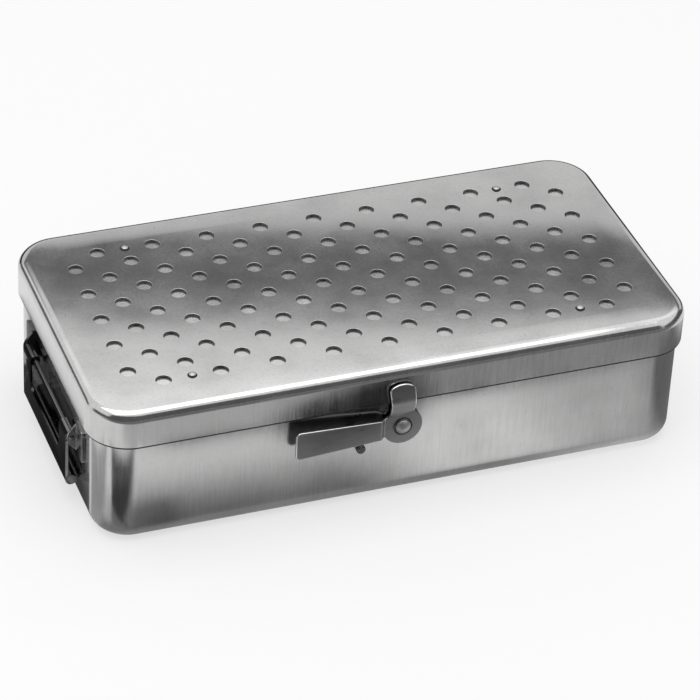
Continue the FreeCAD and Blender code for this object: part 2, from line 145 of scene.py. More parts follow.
def smoothed(piece):
    """Smooth shading that keeps flats flat and sharp edges sharp."""
    only(piece)
    bpy.ops.object.shade_smooth_by_angle(angle=SHARP_ANGLE)
    applied(piece, "WEIGHTED_NORMAL", keep_sharp=True, weight=100)


def drawn_pan(name, low, high, plan_radius, edge_radius, closed_above, crown=0.0):
    """A drawn pan: the upright corners are rounded first, then the rim of its closed end. The
    crown lifts the middle of the closed end. A narrow band of the sheet along its open edge is
    painted dark, as painted shade."""
    closed, opened = (high.z, low.z) if closed_above else (low.z, high.z)
    pan = block(name, low, high)
    rounded(lambda middle, way: abs(way.z) > ALONG, plan_radius, PLAN_SEGMENTS)
    rounded(lambda middle, way: abs(middle.z - closed) < NEAR and abs(way.z) < ACROSS, edge_radius,
            EDGE_SEGMENTS)
    pick("FACE", lambda middle, normal: abs(middle.z - opened) < NEAR and abs(normal.z) > ALONG)
    bpy.ops.mesh.delete(type="FACE")
    if crown:
        pick("FACE", lambda middle, normal: abs(normal.z) > FLAT)
        bpy.ops.mesh.inset(thickness=CROWN_REACH)
        bpy.ops.transform.translate(value=(0, 0, crown))
    bpy.ops.object.mode_set(mode="OBJECT")
    applied(pan, "SOLIDIFY", thickness=PAN_SHEET, offset=-1, use_even_offset=True)
    bpy.ops.object.mode_set(mode="EDIT")
    rounded(lambda middle, way: abs(middle.z - opened) < NEAR and abs(way.z) < ACROSS, SKIRT_EASE,
            segments=2)
    inward = DARK_RIM if closed_above else -DARK_RIM
    scored((0, 0, opened + inward), (0, 0, 1))
    bpy.ops.object.mode_set(mode="OBJECT")
    # The band along the open edge gets the dark steel, as painted shade.
    pan.data.materials.append(pan_steel)
    pan.data.materials.append(rim_shade_steel)
    for face in pan.data.polygons:
        if abs(face.center.z - opened) < DARK_RIM:
            face.material_index = 1
    return pan


def noise(tree, coordinates, scale, detail, stretch=(1, 1, 1)):
    """A noise pattern on the piece's own place, drawn out along an axis by the stretch."""
    mapping = tree.nodes.new("ShaderNodeMapping")
    mapping.inputs["Scale"].default_value = stretch
    tree.links.new(coordinates, mapping.inputs["Vector"])
    pattern = tree.nodes.new("ShaderNodeTexNoise")
    pattern.inputs["Scale"].default_value = scale
    pattern.inputs["Detail"].default_value = detail
    tree.links.new(mapping.outputs["Vector"], pattern.inputs["Vector"])
    return pattern.outputs["Fac"]


def between(tree, value, low, high, start=0.0, end=1.0):
    """Maps a pattern from start..end to low..high."""
    node = tree.nodes.new("ShaderNodeMapRange")
    for name, number in (("From Min", start), ("From Max", end), ("To Min", low), ("To Max", high)):
        node.inputs[name].default_value = number
    tree.links.new(value, node.inputs["Value"])
    return node.outputs["Result"]


def combined(tree, operation, first, second):
    """Two patterns, or a pattern and a number, put through one sum."""
    node = tree.nodes.new("ShaderNodeMath")
    node.operation = operation
    for socket, value in zip(node.inputs, (first, second)):
        if isinstance(value, (int, float)):
            socket.default_value = value
        else:
            tree.links.new(value, socket)
    return node.outputs["Value"]


def relief(tree, height, depth, below=None):
    """A bump of that depth in metres, on top of another one."""
    node = tree.nodes.new("ShaderNodeBump")
    node.inputs["Distance"].default_value = depth
    tree.links.new(height, node.inputs["Height"])
    if below is not None:
        tree.links.new(below, node.inputs["Normal"])
    return node.outputs["Normal"]


def steel(name, colour, rough, grain_depth, grain=(1, 1, 1), wave_depth=0, rough_top=None):
    """Ground stainless steel. Its grain can be drawn out along one axis, flats that face up can
    be polished finer than walls, and use has left duller and darker patches and fine pits."""
    material = bpy.data.materials.new(name)
    material.use_nodes = True
    tree = material.node_tree
    shader = tree.nodes["Principled BSDF"]
    shader.inputs["Metallic"].default_value = 1
    place = tree.nodes.new("ShaderNodeTexCoord")
    spot = place.outputs["Object"]
    lines = noise(tree, spot, GRAIN_SCALE, detail=4, stretch=grain)
    waves = noise(tree, spot, WAVE_SCALE, detail=2)
    patches = noise(tree, spot, PATCH_SCALE, detail=7)
    specks = noise(tree, spot, SPECK_SCALE, detail=3)
    facing = tree.nodes.new("ShaderNodeSeparateXYZ")
    tree.links.new(place.outputs["Normal"], facing.inputs["Vector"])
    upward = combined(tree, "ABSOLUTE", facing.outputs["Z"], 0)
    ground = between(tree, upward, rough, rough_top or rough, *FACING_UP)
    dull = between(tree, patches, *DULLED)
    fine = between(tree, lines, *GROUND)
    roughness = combined(tree, "MULTIPLY", combined(tree, "MULTIPLY", ground, dull), fine)
    tree.links.new(roughness, shader.inputs["Roughness"])
    worn = combined(tree, "MULTIPLY", between(tree, patches, *STAINED), between(tree, lines, *STREAKED))
    pitted = combined(tree, "MULTIPLY", worn, between(tree, specks, *PITTED))
    tone = tree.nodes.new("ShaderNodeMix")
    tone.data_type = "RGBA"
    tone.inputs["A"].default_value = (0, 0, 0, 1)
    tone.inputs["B"].default_value = (*colour, 1)
    tree.links.new(pitted, tone.inputs["Factor"])
    tree.links.new(tone.outputs["Result"], shader.inputs["Base Color"])
    surface = relief(tree, lines, grain_depth, relief(tree, waves, wave_depth))
    tree.links.new(surface, shader.inputs["Normal"])
    return material


def dressed(piece, material, body, slot, *nodes):
    """Gives a finished piece its material, its body and the nodes it stands for. The slot is not used.
    """
    if not piece.data.materials:
        piece.data.materials.append(material)
    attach(piece, body)
    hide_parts(*nodes)


pan_steel = steel("pan_steel", PAN_STEEL, rough=0.16, grain_depth=1.8e-6, grain=(1, 1, 0.05),
                  wave_depth=8e-5, rough_top=0.1)
rim_shade_steel = steel("rim_shade_steel", RIM_SHADE_STEEL, rough=0.6, grain_depth=4e-6)
base_low, base_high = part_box("base_pan")
base = drawn_pan("base", base_low, base_high, BASE_PLAN_RADIUS, BASE_EDGE_RADIUS, False)
# A band of the base's wall just under the lid's skirt, and behind it, is painted dark, as painted shade.
shade_low, shade_high = (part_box("lid_pan")[0].z + reach for reach in (-SHADE_BELOW, SHADE_ABOVE))
bpy.ops.object.mode_set(mode="EDIT")
for level in (shade_low, shade_high):
    scored((0, 0, level), (0, 0, 1))
bpy.ops.object.mode_set(mode="OBJECT")
skirt_shadow_steel = steel("skirt_shadow_steel", SKIRT_SHADOW_STEEL, rough=0.3, grain_depth=2e-6, grain=(1, 1, 0.05))
base.data.materials.append(skirt_shadow_steel)
for face in base.data.polygons:
    faces_out = face.normal.x * face.center.x + face.normal.y * face.center.y > 0
    if faces_out and shade_low < face.center.z < shade_high:
        face.material_index = 2
smoothed(base)
dressed(base, pan_steel, "base", "pan_steel", "base_pan")

# Lid pan. Drawn from the same sheet, with a rounded upper edge and a straight skirt. Its 104
# steam holes are punched from above, which draws their upper edge down and leaves a dull
# sheared wall, in eleven rows of nine and ten. Their walls are painted dark, as painted shade.
LID_PLAN_RADIUS = 14 * MM
LID_EDGE_RADIUS = 3.5 * MM
HOLE_RADIUS = 2.55 * MM
HOLE_ROUNDING = 0.12 * MM
HOLE_SIDES = 24
ROUNDING_TURNS = (30, 60, 90)
HOLE_END_MARGIN = 16.48 * MM
HOLE_SIDE_MARGIN = 15.05 * MM
HOLE_ROWS = 11
SHORT_ROW = 9
LID_CROWN = 0.13 * MM
CROWN_REACH = 7 * MM
# Painted shade for the walls of the steam holes.
HOLE_SHADE_STEEL = (0.2, 0.2, 0.2)


def punched(piece, places, radius, rounding, top, depth, run=0.0):
    """Punches holes down from the top at these places. Their upper edge is drawn down by the
    rounding, and a run along X makes them slots."""
    bpy.ops.object.select_all(action="DESELECT")
    bpy.ops.mesh.primitive_circle_add(vertices=HOLE_SIDES, radius=radius, fill_type="NGON",
                                      location=(0, 0, -depth))
    punch = bpy.context.active_object
    bpy.ops.object.transform_apply(location=True)
    bpy.ops.object.mode_set(mode="EDIT")
    bpy.ops.mesh.select_all(action="SELECT")
    bpy.ops.mesh.extrude_region_move(TRANSFORM_OT_translate={"value": (0, 0, depth - rounding)})
    wide = radius
    for turn in ROUNDING_TURNS if rounding else ():
        angle, before = math.radians(turn), math.radians(turn - ROUNDING_TURNS[0])
        wider = radius + rounding * (1 - math.cos(angle))
        rise = rounding * (math.sin(angle) - math.sin(before))
        bpy.ops.mesh.extrude_region_move(TRANSFORM_OT_translate={"value": (0, 0, rise)})
        bpy.ops.transform.resize(value=(wider / wide, wider / wide, 1))
        wide = wider
    bpy.ops.mesh.extrude_region_move(TRANSFORM_OT_translate={"value": (0, 0, depth)})
    if run:
        pick("VERT", lambda place, normal: place.x > -NEAR)
        bpy.ops.transform.translate(value=(run, 0, 0))
        bpy.ops.mesh.select_all(action="SELECT")
        bpy.ops.transform.translate(value=(-run / 2, 0, 0))
    bpy.ops.mesh.select_all(action="SELECT")
    bpy.ops.mesh.normals_make_consistent(inside=False)
    bpy.ops.object.mode_set(mode="OBJECT")
    row = []
    for x, y in places:
        only(punch)
        bpy.ops.object.duplicate()
        bpy.context.active_object.location = (x, y, top)
        row.append(bpy.context.active_object)
    bpy.data.objects.remove(punch)
    tool = joined(row)
    applied(piece, "BOOLEAN", operation="DIFFERENCE", solver="EXACT", object=tool)
    bpy.data.objects.remove(tool)


def joined(pieces):
    """Several pieces made one, with its place in its mesh."""
    only(pieces[0])
    for piece in pieces:
        piece.select_set(True)
    bpy.ops.object.join()
    bpy.ops.object.transform_apply(location=True, rotation=True)
    return pieces[0]


lid_low, lid_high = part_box("lid_pan")
hole_pitch = (lid_high.x - lid_low.x - 2 * HOLE_END_MARGIN) / SHORT_ROW
row_pitch = (lid_high.y - lid_low.y - 2 * HOLE_SIDE_MARGIN) / (HOLE_ROWS - 1)
hole_places = []
for row in range(HOLE_ROWS):
    count = SHORT_ROW + row % 2
    for column in range(count):
        hole_places.append(((column - (count - 1) / 2) * hole_pitch,
                            ((HOLE_ROWS - 1) / 2 - row) * row_pitch))
lid_edge_high = Vector((lid_high.x, lid_high.y, lid_high.z - LID_CROWN))
lid = drawn_pan("lid", lid_low, lid_edge_high, LID_PLAN_RADIUS, LID_EDGE_RADIUS, True, LID_CROWN)
punched(lid, hole_places, HOLE_RADIUS, HOLE_ROUNDING, lid_high.z, 2 * PAN_SHEET)
smoothed(lid)
lid.data.materials.append(steel("hole_shade_steel", HOLE_SHADE_STEEL, rough=0.5, grain_depth=4e-6))
field_x = lid_high.x - HOLE_END_MARGIN + 2 * HOLE_RADIUS
field_y = lid_high.y - HOLE_SIDE_MARGIN + 2 * HOLE_RADIUS
# The hole walls get the dark steel, as painted shade.
for face in lid.data.polygons:
    x, y, z = face.center
    in_sheet = lid_high.z - PAN_SHEET < z < lid_high.z - HOLE_ROUNDING
    if abs(x) < field_x and abs(y) < field_y and in_sheet and abs(face.normal.z) < ACROSS:
        face.material_index = 2
dressed(lid, pan_steel, "lid", "pan_steel", "lid_pan")

# Shutter plate. A thin perforated plate under the lid, shut here: its holes lie one travel
# aside of the lid's. Its end is folded down as a lip for the finger. It is bead-blasted, so
# what shows of it through the steam holes is paler and duller than the lid.
SHUTTER_SHEET = 0.6 * MM
SHUTTER_TRAVEL = 5.6 * MM
SHUTTER_PLAN_RADIUS = 6 * MM
LIP_WIDTH = 34 * MM
LIP_BEND = 0.5 * MM
GUIDE_COLUMNS = 3.5
GUIDE_SLOT_RADIUS = 1 * MM
BLASTED_STEEL = (0.76, 0.76, 0.755)

plate_low, plate_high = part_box("shutter_plate")
plate_end = plate_high.x - SHUTTER_SHEET
under = plate_high.z - SHUTTER_SHEET
shutter = block("shutter", (plate_low.x, plate_low.y, under), (plate_end, plate_high.y, plate_high.z))
rounded(lambda middle, way: abs(way.z) > ALONG, SHUTTER_PLAN_RADIUS, segments=6)
for side in (-1, 1):
    scored((0, side * LIP_WIDTH / 2, 0), (0, 1, 0))
pick("FACE", lambda middle, normal: normal.x > ALONG and abs(middle.y) < LIP_WIDTH / 4)
bpy.ops.mesh.extrude_region_move(TRANSFORM_OT_translate={"value": (SHUTTER_SHEET, 0, 0)})
pick("FACE", lambda middle, normal: normal.z < -ALONG and middle.x > plate_end)
bpy.ops.mesh.extrude_region_move(TRANSFORM_OT_translate={"value": (0, 0, plate_low.z - under)})
rounded(lambda middle, way: abs(way.y) > ALONG and middle.x > plate_end + NEAR
        and middle.z > plate_high.z - NEAR, LIP_BEND, segments=4)
bpy.ops.object.mode_set(mode="OBJECT")
guide_places = [(i * GUIDE_COLUMNS * hole_pitch, j * (HOLE_ROWS - 1) / 2 * row_pitch)
                for i in (-1, 1) for j in (-1, 1)]
punched(shutter, [(x - SHUTTER_TRAVEL / 2, y) for x, y in guide_places], GUIDE_SLOT_RADIUS, 0,
        plate_high.z, 2 * SHUTTER_SHEET, SHUTTER_TRAVEL)
punched(shutter, [(x - SHUTTER_TRAVEL, y) for x, y in hole_places], HOLE_RADIUS, 0, plate_high.z,
        2 * SHUTTER_SHEET)
smoothed(shutter)
blasted_steel = steel("blasted_steel", BLASTED_STEEL, rough=0.2, grain_depth=3e-6)
dressed(shutter, blasted_steel, "shutter", "pan_steel", "shutter_plate")

# Guide rivets and washers. Four small domed rivets hang the shutter from the lid, each through
# a slot of the shutter and a washer under it, and are closed by a second dome below. Outside
# their crowns they are painted dark, as painted shade.
GUIDE_HEAD = (1.6 * MM, 0.9 * MM)
GUIDE_SHANK_RADIUS = 0.9 * MM
GUIDE_TAIL_HEIGHT = 0.7 * MM
GUIDE_WASHER_SHEET = 0.5 * MM
GUIDE_WASHER_RADIUS = 3 * MM
GUIDE_WASHER_EASE = 0.08 * MM
GUIDE_SHADE_RADIUS = 1.1 * MM
SHUTTER_GAP = 0.1 * MM
RING_MERGE = 0.001 * MM
DOME_STEPS = 8
DOME_TIP = 1 / 60
RIVET_STEEL = (0.5, 0.5, 0.495)


def turned(name, rings, middle, along, hollow=False, sides=40):
    """A round piece, ring by ring along its axis; each ring is (distance, radius). A hollow one
    ends at its first ring again."""
    bpy.ops.object.select_all(action="DESELECT")
    bpy.ops.mesh.primitive_circle_add(vertices=sides, radius=rings[0][1],
                                      fill_type="NOTHING" if hollow else "NGON",
                                      location=(0, 0, rings[0][0]))
    piece = bpy.context.active_object
    piece.name = name
    bpy.ops.object.transform_apply(location=True)
    bpy.ops.object.mode_set(mode="EDIT")
    bpy.ops.mesh.select_all(action="SELECT")
    for (back, narrow), (ahead, wide) in zip(rings, rings[1:] + rings[:1] * hollow):
        if hollow:
            bpy.ops.mesh.extrude_edges_move(TRANSFORM_OT_translate={"value": (0, 0, ahead - back)})
        else:
            bpy.ops.mesh.extrude_region_move(TRANSFORM_OT_translate={"value": (0, 0, ahead - back)})
        bpy.ops.transform.resize(value=(wide / narrow, wide / narrow, 1),
                                 center_override=(0, 0, ahead))
    bpy.ops.mesh.select_all(action="SELECT")
    bpy.ops.mesh.remove_doubles(threshold=RING_MERGE)
    bpy.ops.mesh.normals_make_consistent(inside=False)
    bpy.ops.object.mode_set(mode="OBJECT")
    piece.rotation_mode = "QUATERNION"
    piece.rotation_quaternion = Vector((0, 0, 1)).rotation_difference(Vector(along))
    piece.location = middle
    only(piece)
    bpy.ops.object.transform_apply(location=True, rotation=True)
    return piece


def dome(start, radius, height):
    """Rings of a round head that starts at a distance along the axis and closes at its crown,
    where a tiny ring is left."""
    ball = (radius ** 2 + height ** 2) / (2 * height)
    widest = math.asin(radius / ball)
    rings = []
    for step in range(DOME_STEPS):
        angle = widest * (1 - step / DOME_STEPS)
        rings.append((start + height - ball + ball * math.cos(angle), ball * math.sin(angle)))
    return rings + [(start + height, radius * DOME_TIP)]


def tail(start, radius, height):
    """Rings of the closing head below a shank, from its crown up to its seat."""
    return [(2 * start - distance, wide) for distance, wide in reversed(dome(start, radius, height))]


washer_top = under - SHUTTER_GAP
washer_low = washer_top - GUIDE_WASHER_SHEET
rivets, washers = [], []
for x, y in guide_places:
    rings = tail(washer_low, GUIDE_HEAD[0], GUIDE_TAIL_HEIGHT)
    rings += [(washer_low, GUIDE_SHANK_RADIUS), (lid_high.z, GUIDE_SHANK_RADIUS)]
    rings += dome(lid_high.z, *GUIDE_HEAD)
    rivets.append(turned("guide_rivet", rings, (x, y, 0), (0, 0, 1), sides=24))
    rings = [(washer_low, GUIDE_SHANK_RADIUS), (washer_low, GUIDE_WASHER_RADIUS),
             (washer_top, GUIDE_WASHER_RADIUS), (washer_top, GUIDE_SHANK_RADIUS)]
    washers.append(turned("guide_washer", rings, (x, y, 0), (0, 0, 1), True))
rivet_steel = steel("rivet_steel", RIVET_STEEL, rough=0.4, grain_depth=1.5e-6)
guide_rivets = joined(rivets)
guide_rivets.name = "guide_rivets"
smoothed(guide_rivets)
guide_rivets.data.materials.append(rivet_steel)
guide_rivets.data.materials.append(rim_shade_steel)
# Outside the crown, each rivet gets the dark steel, as painted shade.
for face in guide_rivets.data.polygons:
    reach = min(math.hypot(face.center.x - x, face.center.y - y) for x, y in guide_places)
    if reach > GUIDE_SHADE_RADIUS:
        face.material_index = 1
dressed(guide_rivets, rivet_steel, "lid", "hardware_steel", "shutter_guide_rivets")
guide_washers = joined(washers)
guide_washers.name = "guide_washers"
applied(guide_washers, "BEVEL", width=GUIDE_WASHER_EASE, segments=2)
smoothed(guide_washers)
dressed(guide_washers, rivet_steel, "lid", "hardware_steel", "shutter_guide_washers")

# Hinges. Two leaf hinges behind. Each lid leaf is a T of sheet with one rolled eye; each base
# leaf is stepped out to the same axis and has an eye at each end. Both are spot-welded on, and
# a wire pin with eased ends holds the eyes together.
HINGE_WIDTH = 24 * MM
HINGE_SHEET = 0.8 * MM
HINGE_PIN_RADIUS = 1 * MM
HINGE_BORE_RADIUS = 1.05 * MM
HINGE_EYE_RADIUS = 1.85 * MM
HINGE_GAP = 0.3 * MM
HINGE_LIFT = 1.5 * MM
HINGE_KNUCKLE = 11.6 * MM
HINGE_SIDE_GAP = 0.2 * MM
HINGE_CORNER = 2.5 * MM
HINGE_EASE = 0.15 * MM
CUT_MERGE = 0.02 * MM
CUT_FLAT = math.radians(0.4)
EASE_OVER = math.radians(38)
HINGE_STEEL = (0.6, 0.6, 0.595)


def drawn_out(test, middle, size=(0, 0, 0)):
    """Extrudes the picked face to a new middle, and to a new size along each axis that has one."""
    pick("FACE", test)
    mesh = bmesh.from_edit_mesh(bpy.context.edit_object.data)
    corners = [vertex.co.copy() for vertex in mesh.verts if vertex.select]
    low = Vector(min(corner[axis] for corner in corners) for axis in range(3))
    high = Vector(max(corner[axis] for corner in corners) for axis in range(3))
    ratio = [new / (b - a) if b - a > NEAR and new else 1 for a, b, new in zip(low, high, size)]
    bpy.ops.mesh.extrude_region_move(
        TRANSFORM_OT_translate={"value": Vector(middle) - (low + high) / 2})
    bpy.ops.transform.resize(value=ratio, center_override=middle)


def cut_with(piece, tool, operation="DIFFERENCE"):
    """Cuts, or joins on, another piece, which is used up."""
    applied(piece, "BOOLEAN", operation=operation, solver="EXACT", object=tool)
    bpy.data.objects.remove(tool)


def bored(piece, radius, reach, middle, along):
    """Drills a straight bore that reaches as far each way from its middle."""
    cut_with(piece, turned("bore", [(-reach, radius), (reach, radius)], middle, along))


def eased(piece, width, segments=2, edge=None, face=None):
    """Breaks the sharp edges of a finished shape and smooths it. The edges can get a steel of
    their own, besides that of the faces."""
    only(piece)
    bpy.ops.object.mode_set(mode="EDIT")
    bpy.ops.mesh.select_all(action="SELECT")
    bpy.ops.mesh.remove_doubles(threshold=CUT_MERGE)
    bpy.ops.mesh.dissolve_limited(angle_limit=CUT_FLAT)
    bpy.ops.object.mode_set(mode="OBJECT")
    piece.data.materials.clear()
    if edge:
        piece.data.materials.append(face)
        piece.data.materials.append(edge)
    applied(piece, "BEVEL", width=width, segments=segments, limit_method="ANGLE",
            angle_limit=EASE_OVER, use_clamp_overlap=False, material=1 if edge else -1)
    bpy.ops.object.mode_set(mode="EDIT")
    bpy.ops.mesh.select_all(action="SELECT")
    bpy.ops.mesh.delete_loose()
    bpy.ops.object.mode_set(mode="OBJECT")
    smoothed(piece)


def eye(x, width, bore, y, z):
    """A rolled hinge eye, around the hinge's axis."""
    rings = [(-width / 2, bore), (-width / 2, HINGE_EYE_RADIUS), (width / 2, HINGE_EYE_RADIUS),
             (width / 2, bore)]
    return turned("eye", rings, (x, y, z), (1, 0, 0), True)


hinge_steel = steel("hinge_steel", HINGE_STEEL, rough=0.26, grain_depth=2.5e-6, grain=(0.05, 1, 1))
for name in ("left", "right"):
    leaf_low, leaf_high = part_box("hinge_" + name + "_lid_leaf")
    foot_low, foot_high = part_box("hinge_" + name + "_base_leaf")
    x = (leaf_low.x + leaf_high.x) / 2
    back = lid_high.y
    hinge_y = back + HINGE_GAP + HINGE_EYE_RADIUS
    hinge_z = lid_low.z + HINGE_LIFT
    shoulder = hinge_z + HINGE_EYE_RADIUS + HINGE_GAP
    leaf = block("hinge_" + name + "_lid_half", (leaf_low.x, back, shoulder),
                 (leaf_high.x, back + HINGE_SHEET, leaf_high.z))
    rounded(lambda middle, way: abs(way.y) > ALONG, HINGE_CORNER)
    bpy.ops.object.mode_set(mode="OBJECT")
    neck = block("neck", (x - HINGE_KNUCKLE / 2, back, hinge_z),
                 (x + HINGE_KNUCKLE / 2, back + HINGE_SHEET, shoulder + HINGE_CORNER))
    bpy.ops.object.mode_set(mode="OBJECT")
    cut_with(leaf, neck, "UNION")
    bored(leaf, HINGE_BORE_RADIUS, HINGE_WIDTH, (x, hinge_y, hinge_z), (1, 0, 0))
    cut_with(leaf, eye(x, HINGE_KNUCKLE, HINGE_BORE_RADIUS, hinge_y, hinge_z), "UNION")
    eased(leaf, HINGE_EASE)
    dressed(leaf, hinge_steel, "lid", "hardware_steel", "hinge_" + name + "_lid_leaf")

    wall = base_high.y
    stepped = hinge_y - HINGE_EYE_RADIUS
    step_top = lid_low.z - HINGE_GAP
    foot = block("hinge_" + name + "_base_half", (foot_low.x, wall, foot_low.z),
                 (foot_high.x, wall + HINGE_SHEET, step_top - (stepped - wall)))
    rounded(lambda middle, way: abs(way.y) > ALONG and middle.z < foot_low.z + NEAR, HINGE_CORNER)
    for level in (step_top, hinge_z):
        drawn_out(lambda middle, normal: normal.z > ALONG, (x, stepped + HINGE_SHEET / 2, level))
    bpy.ops.object.mode_set(mode="OBJECT")
    notch = HINGE_KNUCKLE / 2 + HINGE_SIDE_GAP
    gap = block("notch", (x - notch, wall, hinge_z - HINGE_EYE_RADIUS - 2 * HINGE_GAP),
                (x + notch, hinge_y + HINGE_EYE_RADIUS, hinge_z + HINGE_EYE_RADIUS))
    bpy.ops.object.mode_set(mode="OBJECT")
    cut_with(foot, gap)
    end_width = HINGE_WIDTH / 2 - notch
    for side in (-1, 1):
        eye_x = x + side * (notch + end_width / 2)
        bored(foot, HINGE_PIN_RADIUS, end_width, (eye_x, hinge_y, hinge_z), (1, 0, 0))
        cut_with(foot, eye(eye_x, end_width, HINGE_PIN_RADIUS, hinge_y, hinge_z), "UNION")
    eased(foot, HINGE_EASE)
    dressed(foot, hinge_steel, "base", "hardware_steel", "hinge_" + name + "_base_leaf")

    half = HINGE_WIDTH / 2
    rings = [(-half, HINGE_PIN_RADIUS - HINGE_EASE), (HINGE_EASE - half, HINGE_PIN_RADIUS),
             (half - HINGE_EASE, HINGE_PIN_RADIUS), (half, HINGE_PIN_RADIUS - HINGE_EASE)]
    pin = turned("hinge_" + name + "_wire", rings, (x, hinge_y, hinge_z), (1, 0, 0))
    smoothed(pin)
    dressed(pin, rivet_steel, "base", "hardware_steel", "hinge_" + name + "_pin")

# Latch lever. One blank of sheet: a hub disc on the rivet, a tab that steps out over the lid's
# skirt and bows back onto it, and an arm that steps out to the left to be lifted with a thumb.
# Its faces are ground dull along the arm and painted dark, as painted shade, and its rounded
# edges are painted bright, as a painted highlight.
LATCH_SHEET = 1 * MM
LATCH_HUB_RADIUS = 6.6 * MM
LATCH_BORE_RADIUS = 1.65 * MM
LATCH_STEP_AT = 6.2 * MM
LATCH_ARM_STEP = 1.3 * MM
LATCH_ARM_ROOT = (-3.3 * MM, 4.0 * MM)
LATCH_ARM_END = (-4.2 * MM, 6.2 * MM)
LATCH_CORNER = 1.7 * MM
LATCH_EASE = 0.32 * MM
# Painted shade for the lever's faces, and a painted highlight for its edges.
LATCH_STEEL = (0.27, 0.27, 0.27)
EDGE_HIGHLIGHT_STEEL = (0.85, 0.85, 0.845)
LATCH_BEND_REACH = 0.5 * MM
LEANING = 0.2
TAB_SHOULDER_ROUNDING = 1.2 * MM
TAB_TIP_ROUNDING = 0.9 * MM
# The tab in mm. Its root is flush with the hub: height over the hub's middle, left edge and
# right edge. A level above also has, second, the distance from the base's middle to its back.
TAB_ROOT = (6.0, -4.3, 3.8)
TAB_LEVELS = ((8.6, 52.2, -4.6, 3.67), (11.0, 52.6, -4.9, 3.45), (13.2, 52.5, -5.2, 3.27),
              (15.9, 52.1, -5.5, 3.1))
TAB_TIP = (17.14, 51.85, -2.6, 0.4)

lever_low, lever_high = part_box("latch_lever")
hub_z = lever_low.z + LATCH_HUB_RADIUS
lever_back = lever_high.y
hub_middle = (0, lever_back, hub_z)
lever = turned("lever", [(0, LATCH_HUB_RADIUS), (LATCH_SHEET, LATCH_HUB_RADIUS)], hub_middle,
               (0, -1, 0), sides=64)
arm = block("arm", (-LATCH_STEP_AT, lever_back - LATCH_SHEET, hub_z + LATCH_ARM_ROOT[0]),
            (0, lever_back, hub_z + LATCH_ARM_ROOT[1]))
arm_tip = lever_low.x
span = arm_tip + LATCH_STEP_AT
for reach, out in ((-LATCH_STEP_AT - LATCH_ARM_STEP, lever_back - LATCH_ARM_STEP),
                   (arm_tip, lever_low.y + LATCH_SHEET)):
    share = (reach + LATCH_STEP_AT) / span
    low, high = (root + (end - root) * share for root, end in zip(LATCH_ARM_ROOT, LATCH_ARM_END))
    drawn_out(lambda middle, normal: normal.x < -ALONG,
              (reach, out - LATCH_SHEET / 2, hub_z + (low + high) / 2), (0, 0, high - low))
rounded(lambda middle, way: abs(way.y) > ALONG and middle.x < arm_tip + NEAR, LATCH_CORNER,
        segments=6)
bpy.ops.object.mode_set(mode="OBJECT")
height, left, right = (size * MM for size in TAB_ROOT)
tab = block("tab", (left, lever_back - LATCH_SHEET, hub_z), (right, lever_back, hub_z + height))
for level, out, left, right in TAB_LEVELS + (TAB_TIP,):
    drawn_out(lambda middle, normal: normal.z > ALONG,
              ((left + right) / 2 * MM, -out * MM - LATCH_SHEET / 2, hub_z + level * MM),
              ((right - left) * MM, 0, 0))
tab_shoulder = hub_z + TAB_LEVELS[-1][0] * MM
rounded(lambda middle, way: abs(way.y) > ALONG and abs(middle.z - tab_shoulder) < NEAR,
        TAB_SHOULDER_ROUNDING, segments=4)
rounded(lambda middle, way: abs(way.y) > ALONG and middle.z > lever_high.z - NEAR, TAB_TIP_ROUNDING,
        segments=3)
bpy.ops.object.mode_set(mode="OBJECT")
cut_with(lever, arm, "UNION")
cut_with(lever, tab, "UNION")
bored(lever, LATCH_BORE_RADIUS, 2 * LATCH_SHEET, hub_middle, (0, -1, 0))
# The lever's faces are painted dark, as painted shade, and its rounded edges bright, as a painted
# highlight.
latch_steel = steel("latch_steel", LATCH_STEEL, rough=0.3, grain_depth=3e-6, grain=(0.06, 1, 1),
                    wave_depth=5e-5)
edge_highlight_steel = steel("edge_highlight_steel", EDGE_HIGHLIGHT_STEEL, rough=0.12, grain_depth=1e-6)
eased(lever, LATCH_EASE, segments=3, edge=edge_highlight_steel, face=latch_steel)
bend_from = -LATCH_STEP_AT - LATCH_ARM_STEP - LATCH_BEND_REACH
bend_to = LATCH_BEND_REACH - LATCH_STEP_AT
# The hub's rim, the bends and the back get no painted highlight and keep the faces' painted shade.
for face in lever.data.polygons:
    reach = Vector((face.center.x, face.center.z - hub_z)).length
    on_hub = LATCH_HUB_RADIUS - LATCH_EASE < reach < LATCH_HUB_RADIUS + LATCH_EASE
    at_bend = abs(face.normal.z) < LEANING and bend_from < face.center.x < bend_to
    if on_hub or at_bend or face.normal.y > LEANING:
        face.material_index = 0
dressed(lever, latch_steel, "latch", "latch_steel", "latch_lever")

# Latch rivet and its washers. The rivet's head was set with a hollow punch, which left a
# groove round its dome. A dished spring washer under the lever gives it its drag, and a flat
# one backs the rivet's tail inside the wall.
RIVET_HEAD_RADIUS = 3.15 * MM
RIVET_GROOVE_RADIUS = 2.65 * MM
RIVET_RIM_HEIGHT = 0.4 * MM
RIVET_GROOVE_HEIGHT = 0.15 * MM
RIVET_GROOVE_SLOPE = 0.15 * MM
RIVET_RIM_EASE = 0.2 * MM
RIVET_DOME_INSET = 0.1 * MM
RIVET_GAP = 0.1 * MM
RIVET_SHANK_RADIUS = 1.6 * MM
RIVET_TAIL = (2.5 * MM, 1 * MM)
SPRING_WASHER = (4.5 * MM, 0.4 * MM)
INNER_WASHER = (4 * MM, 0.7 * MM)
WASHER_EASE = 0.1 * MM
# Painted shade for the latch rivet's rim and for the stop stud.
DARK_SHADE_STEEL = (0.14, 0.14, 0.14)

